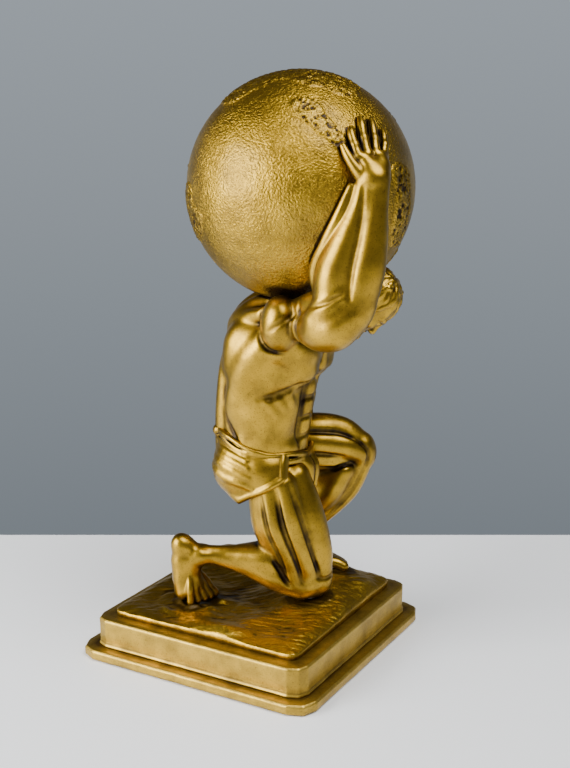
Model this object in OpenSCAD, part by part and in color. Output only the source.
// Figure trophy: a kneeling man carries a globe on his shoulders, on a stepped square base.
// Millimetres, +Z up. The origin is the centre of the base's underside.

/* [Plinth] */
// Width of the square lower step
foot_w = 120; // [116:1:128]
// Height of the lower step, felt excluded
foot_h = 4.6; // [4.4:0.1:6]
// Width of the square upper step
block_w = 108.4; // [104:0.1:110]
// Height of the upper step
block_h = 13.15; // [12:0.05:16]
// Radius that the faceted corners of the lower step follow
foot_corner_r = 9.5; // [6:0.5:12]
// Radius that the faceted corners of the upper step follow
block_corner_r = 6.9; // [4:0.1:9]
// Width of the chamfer round the upper edges
edge_chamfer = 0.9; // [0.5:0.1:1.5]
// Thickness of the upper step's walls
block_wall = 5; // [4:0.5:7]

/* [Felt] */
// Thickness of the felt sheet
felt_t = 1.2; // [0.8:0.1:1.6]
// How far the felt stands below the lower step
felt_proud = 0.4; // [0.2:0.1:0.6]
// Distance from the lower step's side to the felt's edge
felt_margin = 6; // [4:1:12]

/* [Ground] */
// Distance from the upper step's side to the ground slab
ground_inset = 6.6; // [5:0.2:9]
// Height of the ground slab at its edge
ground_edge_h = 1.9; // [1.5:0.1:3]
// Number of cells along one side of the ground's surface
ground_cells = 22; // [12:2:30]

/* [Figure] */
// Angle of the figure's forward direction, counted from +X towards +Y
figure_yaw = 25; // [20:1:30]
// Radius of the pins that join the castings
pin_r = 1.6; // [1.2:0.1:2]

/* [Globe] */
// Radius of the globe
globe_r = 49.9; // [49:0.1:50.2]
// Thickness of the globe's wall
globe_wall = 4; // [3:0.5:6]
// Radius of the peg that carries the globe
peg_r = 3; // [2.5:0.25:4]

/* [Studs and screws] */
// Thread radius of the two studs under the legs
stud_r = 2.5; // [2:0.25:3]
// Shank radius of the four screws
screw_r = 1.5; // [1.25:0.25:2]
// Radius of the four screws' countersunk heads
screw_head_r = 3; // [2.75:0.25:3.5]

/* [Hidden] */

gold = [0.72, 0.53, 0.2];
dark_gold = [0.45, 0.32, 0.12];
steel = [0.62, 0.63, 0.65];

// Levels of the base
foot_z = felt_proud;
block_z = foot_z + foot_h;
ground_z = block_z + block_h;

// Where the four screws and the screw posts stand, from the centre
screw_d = block_w / 2 - 13;
post_r = 4.5;
// Depth of the countersinks in the lower step
sink_h = 1.8;
// Length of the screws
screw_len = 12;

// Height of the boss for the peg, from the underside of the globe
boss_h = 10;

// Size of the block that cuts at a joint plane
cut_w = 120;
cut_h = 90;

// Half the width of the ground slab
ground_half = block_w / 2 - ground_inset;

// The figure's own frame: x forward, y to the figure's left, z up from the underside of the base
figure_at = [1.5, 5.8, 0];

// Joints on the figure's right side; the left arm mirrors the right one
hip_r = [3, -12.5, 82];
thigh_mid_r = [13.4, -14, 58];
knee_r = [21.6, -15, 37.4];
calf_r = [0.5, -16.5, 42.6];
low_shin_r = [-12, -17.5, 44.4];
ankle_r = [-25, -18.5, 46];
heel_r = [-34.6, -19, 46.6];
ball_r = [-33, -19, 27.5];
toe_r = [-25.5, -18.5, 24.6];
// Joints of the standing left leg
hip_l = [4, 13, 84];
thigh_mid_l = [24, 15, 90];
knee_l = [41.3, 18, 87.5];
calf_l = [31, 17, 66];
ankle_l = [12.5, 15, 43];
heel_l = [6.5, 14.5, 36];
ball_l = [26, 16.5, 31.5];
toe_l = [34, 17.5, 30];
// Joints of the right arm
shoulder_r = [10, -25, 153.5];
upper_mid_r = [21, -39, 157];
elbow_r = [31.5, -48, 160.2];
forearm_r = [37, -48.5, 170];
brawn_r = [43, -48, 184];
wrist_r = [48.3, -46.2, 214];
palm_r = [48.8, -43.4, 224];
thumb_base_r = [42.8, -47, 220];
thumb_tip_r = [38.4, -44.8, 230];
fore_finger_r = [43.5, -37, 238];
little_finger_r = [53.6, -32.6, 230];
// Neck and head
neck_base = [12, 0, 148];
neck_top = [36, 0, 153.5];
skull = [49, 0, 160];
jaw = [46, 0, 153];

// Centre of the globe in the figure's frame
globe_c = [16.4, 0, 209.8];

// The two studs, in the frame of the base
knee_stud = [28.6, 1.6];
foot_stud = [13.2, 28.2];
stud_bottom = 6.5;
stud_top = 35;
nut_h = 4;
washer_h = 1;

// Corner of a square with sides 2 * half: three points on an arc of radius r, which gives two facets
function corner(half, r, turn) = [for (a = [0, 45, 90])
    let (x = half - r + r * cos(a), y = half - r + r * sin(a))
    [x * cos(turn) - y * sin(turn), x * sin(turn) + y * cos(turn)]];

// Outline of a square step with faceted corners
function step_outline(width, r) = [for (k = [0:3]) each corner(width / 2, r, 90 * k)];

// Mirrors a point of the right side to the left side
function left(p) = [p[0], -p[1], p[2]];

// Ground height above the block at x, y: a soft mound under each contact, a ridge and a fine ripple
function mound(x, y, cx, cy, w, h) = h * exp(-(pow(x - cx, 2) + pow(y - cy, 2)) / (w * w));
function ground_raw(x, y) =
    3.1 + mound(x, y, 27, 6, 20, 4.2) + mound(x, y, 22, 31, 18, 6.4)
    + mound(x, y, -18, -26, 15, 0.9) + mound(x, y, -30, 25, 22, 2.2)
    + mound(x, y, 5, -40, 14, 1.0)
    + 0.45 * sin(x * 13 + y * 5) * cos(y * 11 - x * 4);
// Places a point of the figure's frame in the base's frame
function to_base(p) = [figure_at[0] + p[0] * cos(figure_yaw) - p[1] * sin(figure_yaw),
                       figure_at[1] + p[0] * sin(figure_yaw) + p[1] * cos(figure_yaw), p[2]];
// Underside of a ball at c with radius r, seen from below at x, y; far above the ground beside it
function belly(x, y, c, r) = let (d = norm([x - c[0], y - c[1]]))
    d < r ? c[2] - sqrt(r * r - d * d) : 1000;
// The surface falls to the slab's edge over a soft shoulder, and dips under whatever presses into it
function edge_fall(t) = sqrt(max(0, 1 - pow(max(0, abs(t) - 0.86) / 0.14, 2)));
function open_ground_z(u, v) = let (fall = min(edge_fall(u), edge_fall(v)))
    ground_z + ground_edge_h + (ground_raw(u * ground_half, v * ground_half) - ground_edge_h) * fall;
function surface_z(u, v) = let (x = u * ground_half, y = v * ground_half)
    min(open_ground_z(u, v), min([for (c = contacts) belly(x, y, to_base(c[0]), c[1]) - ground_gap]));

// A ball at point p of the figure's frame
module ball(p, r, facets = 18) {
    translate(p) sphere(r, $fn = facets);
}

// Two balls and the skin between them
module link(a, ra, b, rb) {
    hull() {
        ball(a, ra);
        ball(b, rb);
    }
}

// A straight round pin between two points
module pin(a, b, r) {
    d = b - a;
    length = norm(d);
    translate(a) rotate([0, acos(d[2] / length), atan2(d[1], d[0])])
        cylinder(h = length, r = r, $fn = 32);
}

// Places its children in the base's frame
module figure() {
    translate(figure_at) rotate([0, 0, figure_yaw]) children();
}

// Cuts away everything beyond the plane through p with the outward direction d
module cut(p, d) {
    translate(p) rotate([0, acos(d[2] / norm(d)), atan2(d[1], d[0])])
        translate([-cut_w / 2, -cut_w / 2, 0]) cube([cut_w, cut_w, cut_h]);
}

// Cuts away what lies on the body's side of a joint plane
module mirror_cut(plane) {
    cut(plane[0], -plane[1]);
}

// Toe ends of the kneeling foot, outer to inner
toe_ends_r = [toe_r + [0.5, -5.5, 0], toe_r + [0, 5.5, 0.4]];

// What presses into the ground: ball centres in the figure's frame with their radii
contacts = [[knee_r, 12.9], [ball_r + [0, -3.5, 0], 5.2], [ball_r + [0, 3.5, 0], 5.2],
            [toe_ends_r[0], 3.4], [toe_ends_r[1], 3.4],
            [ball_l + [0, -2.5, 0], 5.6], [ball_l + [0, 3, 0], 5.2],
            [toe_l + [0.5, -3.2, 0], 4], [toe_l + [-1.5, 3.6, 0], 3.6]];
// Clearance between the ground's facets and those balls
ground_gap = 0.15;

// Joint planes: a point and the direction that leaves the body
right_knee_plane = [[9.5, -15.4, 39], [-0.82, 0, -0.57]];
left_knee_plane = [[38.5, 17.8, 80.5], [0.4, 0.1, -0.9]];
right_shoulder_plane = [[14.5, -29.5, 154.6], [0.62, -0.75, 0.2]];
right_elbow_plane = [[33.5, -49.2, 166.5], [0.45, -0.2, 0.87]];
neck_plane = [[39, 0, 154.5], [1, 0, 0.2]];
waist_plane = [[-1, 0, 96], [0.06, 0, -1]];

// Ends of a pin through point p in direction d, equally long to both sides
pin_reach = 7;
function span(p, d) = [p - d * pin_reach / norm(d), p + d * pin_reach / norm(d)];
knee_pin_r = span(right_knee_plane[0], right_knee_plane[1]);
knee_pin_l = span(left_knee_plane[0] + [1, 0, 0], left_knee_plane[1]);
hip_pin_r = [[4.4, -12.8, 67], [1, -9, 88.5]];
hip_pin_l = [[8, 12, 85.2], [-6, 8, 88]];
shoulder_pin_r = span(right_shoulder_plane[0], right_shoulder_plane[1]);
elbow_pin_r = span(right_elbow_plane[0], right_elbow_plane[1]);
neck_pin_ends = span(neck_plane[0], neck_plane[1]);
waist_pin_ends = span(waist_plane[0], waist_plane[1]);
peg_ends = [[16.4, 0, 147], [16.4, 0, 166]];

module mirrored_pin(ends, r) {
    pin(ends[0], ends[1], r);
    pin(left(ends[0]), left(ends[1]), r);
}

// Bores for the studs, in the base's frame
module stud_bores() {
    for (p = [knee_stud, foot_stud]) translate([p[0], p[1], 0]) cylinder(h = stud_top, r = stud_r, $fn = 32);
}

// ---- Base ----

module step_plate(width, r, height, chamfer) {
    linear_extrude(height - chamfer) polygon(step_outline(width, r));
    hull() {
        translate([0, 0, height - chamfer - 0.1]) linear_extrude(0.1) polygon(step_outline(width, r));
        translate([0, 0, height - 0.01]) linear_extrude(0.01)
            polygon(step_outline(width - 2 * chamfer, r - chamfer / 2));
    }
}

module at_screws() {
    for (x = [-1, 1], y = [-1, 1]) translate([x * screw_d, y * screw_d, 0]) children();
}

module felt_pad() {
    color("darkgreen") linear_extrude(felt_t)
        polygon(step_outline(foot_w - 2 * felt_margin, foot_corner_r));
}

module plinth_foot() {
    color(gold) difference() {
        translate([0, 0, foot_z]) step_plate(foot_w, foot_corner_r, foot_h, edge_chamfer);
        linear_extrude(felt_t) polygon(step_outline(foot_w - 2 * felt_margin, foot_corner_r));
        at_screws() {
            cylinder(h = block_z + 1, r = screw_r, $fn = 32);
            translate([0, 0, felt_t - 0.01]) cylinder(h = sink_h, r1 = screw_head_r, r2 = screw_r, $fn = 32);
        }
    }
}

module plinth_screws() {
    color(steel) at_screws() {
        translate([0, 0, felt_t]) cylinder(h = sink_h - 0.01, r1 = screw_head_r, r2 = screw_r, $fn = 32);
        translate([0, 0, felt_t]) cylinder(h = screw_len, r = screw_r, $fn = 32);
    }
}

module plinth_block() {
    color(gold) difference() {
        translate([0, 0, block_z]) step_plate(block_w, block_corner_r, block_h, edge_chamfer);
        difference() {
            translate([0, 0, block_z - 1]) linear_extrude(block_h - block_wall + 1)
                polygon(step_outline(block_w - 2 * block_wall, block_corner_r - 2));
            at_screws() cylinder(h = ground_z, r = post_r, $fn = 32);
        }
        at_screws() translate([0, 0, block_z - 1])
            cylinder(h = felt_t + screw_len + 1 - block_z, r = screw_r, $fn = 32);
        stud_bores();
    }
}

module terrain() {
    n = ground_cells;
    top = [for (j = [0:n], i = [0:n]) let (u = 2 * i / n - 1, v = 2 * j / n - 1)
        [u * ground_half, v * ground_half, surface_z(u, v)]];
    row = n + 1;
    rim = concat([for (i = [0:n - 1]) i], [for (j = [0:n - 1]) j * row + n],
                 [for (i = [0:n - 1]) n * row + n - i], [for (j = [0:n - 1]) (n - j) * row]);
    count = len(rim);
    base = [for (k = rim) [top[k][0], top[k][1], ground_z]];
    first = len(top);
    up = [for (j = [0:n - 1], i = [0:n - 1]) each let (a = j * row + i)
        [[a, a + row, a + row + 1], [a, a + row + 1, a + 1]]];
    sides = [for (k = [0:count - 1]) each let (m = (k + 1) % count)
        [[rim[k], rim[m], first + m], [rim[k], first + m, first + k]]];
    under = [for (k = [0:count - 1]) [first + k, first + (k + 1) % count, first + count]];
    color(dark_gold) difference() {
        polyhedron(points = concat(top, base, [[0, 0, ground_z]]), faces = concat(up, sides, under));
        stud_bores();
    }
}

module leg_studs() {
    color(steel) {
        for (p = [knee_stud, foot_stud]) translate([p[0], p[1], stud_bottom])
            cylinder(h = stud_top - stud_bottom, r = stud_r, $fn = 32);
    }
}

// Height of the block's inner ceiling, which the washers press on
ceiling_z = block_z + block_h - block_wall;

module stud_washers() {
    color(steel) for (p = [knee_stud, foot_stud]) translate([p[0], p[1], ceiling_z - washer_h]) {
        difference() {
            cylinder(h = washer_h, r = 2.2 * stud_r, $fn = 48);
            cylinder(h = washer_h, r = stud_r, $fn = 32);
        }
    }
}

module stud_nuts() {
    color(steel) for (p = [knee_stud, foot_stud]) translate([p[0], p[1], ceiling_z - washer_h - nut_h]) {
        difference() {
            cylinder(h = nut_h, r = 1.85 * stud_r, $fn = 6);
            cylinder(h = nut_h, r = stud_r, $fn = 32);
        }
    }
}

// ---- Legs ----

module right_shin() {
    color(gold) difference() {
        figure() difference() {
            union() {
                link(knee_r, 11.8, calf_r, 9.8);
                link(calf_r, 9.8, low_shin_r, 5);
                link(low_shin_r, 5, ankle_r, 4.3);
                link(ankle_r, 4.3, heel_r, 5.6);
                hull() {
                    ball(heel_r - [0, 0, 4], 5);
                    ball(ball_r + [0, -3.5, 0], 4.6);
                    ball(ball_r + [0, 3.5, 0.4], 5);
                }
                hull() {
                    ball(ball_r + [1, -3.5, -0.4], 4);
                    ball(ball_r + [1, 3.5, -0.2], 4.4);
                    for (p = toe_ends_r) ball(p, 2.8);
                }
            }
            mirror_cut(right_knee_plane);
            pin(knee_pin_r[0], knee_pin_r[1], pin_r);
        }
    }
}

module right_thigh_solid() {
    link(hip_r, 11.5, thigh_mid_r, 16);
    link(thigh_mid_r, 16, knee_r, 12.5);
}

module right_thigh() {
    color(gold) difference() {
        figure() difference() {
            right_thigh_solid();
            cut(right_knee_plane[0], right_knee_plane[1]);
            pin(knee_pin_r[0], knee_pin_r[1], pin_r);
            pin(hip_pin_r[0], hip_pin_r[1], pin_r);
        }
        stud_bores();
    }
}

module left_shin() {
    color(gold) difference() {
        figure() difference() {
            union() {
                link(knee_l, 10, calf_l, 9.4);
                link(calf_l, 9.4, ankle_l, 5.2);
                link(ankle_l, 5.2, heel_l, 5.6);
                hull() {
                    ball(ankle_l, 5);
                    ball(heel_l + [2, 0, -0.6], 5);
                    ball(ball_l + [0, -2.5, 0], 4.8);
                    ball(ball_l + [0, 3, -0.5], 4.3);
                }
                hull() {
                    ball(ball_l + [0, -2.5, -0.4], 4.3);
                    ball(ball_l + [0, 3, -0.6], 4);
                    ball(toe_l + [0.5, -3.2, 0], 3.2);
                    ball(toe_l + [-1.5, 3.6, -0.2], 2.8);
                }
            }
            mirror_cut(left_knee_plane);
            pin(knee_pin_l[0], knee_pin_l[1], pin_r);
        }
        stud_bores();
    }
}

module left_thigh_solid() {
    link(hip_l, 11, thigh_mid_l, 13.2);
    link(thigh_mid_l, 13.2, knee_l, 10.2);
}

module left_thigh() {
    color(gold) figure() difference() {
        left_thigh_solid();
        cut(left_knee_plane[0], left_knee_plane[1]);
        pin(knee_pin_l[0], knee_pin_l[1], pin_r);
        pin(hip_pin_l[0], hip_pin_l[1], pin_r);
    }
}

// ---- Trunk ----

module loincloth() {
    color(gold) figure() difference() {
        union() {
            hull() {
                for (y = [-11.5, 11.5]) {
                    ball([-7.5, y, 91], 15.5);
                    ball([-7, y, 82], 14.5);
                    ball([4, y, 92], 15);
                }
            }
            hull() {
                ball([-6, -13, 84], 13);
                ball([-8, -16, 73], 7);
                ball([2, -15, 84], 12);
            }
        }
        cut(waist_plane[0], -waist_plane[1]);
        right_thigh_solid();
        left_thigh_solid();
        pin(hip_pin_r[0], hip_pin_r[1], pin_r);
        pin(hip_pin_l[0], hip_pin_l[1], pin_r);
        pin(waist_pin_ends[0], waist_pin_ends[1], pin_r);
    }
}

module torso() {
    color(gold) figure() difference() {
        union() {
            hull() {
                for (y = [-6, 6]) {
                    ball([-4, y, 100], 16.8);
                    ball([2, y, 108], 17);
                }
            }
            hull() {
                for (y = [-9, 9]) {
                    ball([-2, y * 0.7, 108], 17);
                    ball([-2.5, y, 126], 17);
                    ball([7, y, 128], 17.5);
                }
            }
            hull() {
                for (y = [-1, 1]) {
                    ball([-1, y * 11, 143], 15.5);
                    ball([12, y * 10, 138], 17);
                    ball([6, y * 21, 150], 11);
                }
            }
            link(neck_base, 11.5, neck_top, 8.6);
            ball(shoulder_r, 12.3, 24);
            ball(left(shoulder_r), 12.3, 24);
        }
        cut(waist_plane[0], waist_plane[1]);
        left_thigh_solid();
        cut(right_shoulder_plane[0], right_shoulder_plane[1]);
        cut(left(right_shoulder_plane[0]), left(right_shoulder_plane[1]));
        cut(neck_plane[0], neck_plane[1]);
        ball(globe_c, globe_r, 96);
        pin(waist_pin_ends[0], waist_pin_ends[1], pin_r);
        pin(neck_pin_ends[0], neck_pin_ends[1], pin_r);
        mirrored_pin(shoulder_pin_r, pin_r);
        pin(peg_ends[0], peg_ends[1], peg_r);
    }
}

module head() {
    color(gold) figure() difference() {
        union() {
            hull() {
                ball(skull, 12.2, 24);
                ball(jaw, 9.5, 24);
            }
            link(neck_top, 8.6, jaw, 8.4);
        }
        mirror_cut(neck_plane);
        ball(globe_c, globe_r, 96);
        pin(neck_pin_ends[0], neck_pin_ends[1], pin_r);
    }
}

// ---- Arms: the right one, and its mirror image ----

module upper_arm_casting() {
    difference() {
        union() {
            link(shoulder_r, 12.2, upper_mid_r, 12.6);
            link(upper_mid_r, 12.6, elbow_r, 12.4);
            link(elbow_r, 12.4, forearm_r, 12);
        }
        mirror_cut(right_shoulder_plane);
        cut(right_elbow_plane[0], right_elbow_plane[1]);
        ball(globe_c, globe_r, 96);
        pin(shoulder_pin_r[0], shoulder_pin_r[1], pin_r);
        pin(elbow_pin_r[0], elbow_pin_r[1], pin_r);
    }
}

module forearm_casting() {
    difference() {
        union() {
            link(elbow_r, 12.4, forearm_r, 12);
            link(forearm_r, 12, brawn_r, 10.4);
            link(brawn_r, 10.4, wrist_r, 5.6);
            hull() {
                ball(wrist_r, 5.4);
                ball(palm_r + [-3, 0, 2], 4.8);
                ball(palm_r + [3, 1, 1], 4.6);
            }
            hull() {
                ball(palm_r + [-2.6, 1, 3], 4);
                ball(palm_r + [3, 1.4, 2], 4);
                ball(fore_finger_r, 2.8);
                ball(little_finger_r, 2.8);
            }
            hull() {
                ball(wrist_r + [-2, 0, 3], 4);
                ball(thumb_base_r, 3.2);
                ball(thumb_tip_r, 2.6);
            }
        }
        mirror_cut(right_elbow_plane);
        ball(globe_c, globe_r, 96);
        pin(elbow_pin_r[0], elbow_pin_r[1], pin_r);
    }
}

module right_upper_arm() {
    color(gold) figure() upper_arm_casting();
}

module right_forearm() {
    color(gold) figure() forearm_casting();
}

module left_upper_arm() {
    color(gold) figure() mirror([0, 1, 0]) upper_arm_casting();
}

module left_forearm() {
    color(gold) figure() mirror([0, 1, 0]) forearm_casting();
}

// ---- Globe: a hollow ball with a boss inside for its peg ----

module globe() {
    color(gold) figure() difference() {
        ball(globe_c, globe_r, 96);
        difference() {
            ball(globe_c, globe_r - globe_wall, 96);
            translate([globe_c[0], globe_c[1], globe_c[2] - globe_r])
                cylinder(h = boss_h, r = 2 * peg_r, $fn = 48);
        }
        pin(peg_ends[0], peg_ends[1], peg_r);
    }
}

// ---- Pins ----

module knee_pins() {
    color(steel) figure() {
        pin(knee_pin_r[0], knee_pin_r[1], pin_r);
        pin(knee_pin_l[0], knee_pin_l[1], pin_r);
    }
}

module hip_pins() {
    color(steel) figure() {
        pin(hip_pin_r[0], hip_pin_r[1], pin_r);
        pin(hip_pin_l[0], hip_pin_l[1], pin_r);
    }
}

module waist_pin() {
    color(steel) figure() pin(waist_pin_ends[0], waist_pin_ends[1], pin_r);
}

module shoulder_pins() {
    color(steel) figure() mirrored_pin(shoulder_pin_r, pin_r);
}

module elbow_pins() {
    color(steel) figure() mirrored_pin(elbow_pin_r, pin_r);
}

module neck_pin() {
    color(steel) figure() pin(neck_pin_ends[0], neck_pin_ends[1], pin_r);
}

module globe_peg() {
    color(steel) figure() pin(peg_ends[0], peg_ends[1], peg_r);
}

felt_pad();
plinth_foot();
plinth_screws();
plinth_block();
terrain();
leg_studs();
stud_washers();
stud_nuts();
right_shin();
right_thigh();
left_shin();
left_thigh();
loincloth();
torso();
head();
right_upper_arm();
right_forearm();
left_upper_arm();
left_forearm();
globe();
knee_pins();
hip_pins();
waist_pin();
shoulder_pins();
elbow_pins();
neck_pin();
globe_peg();
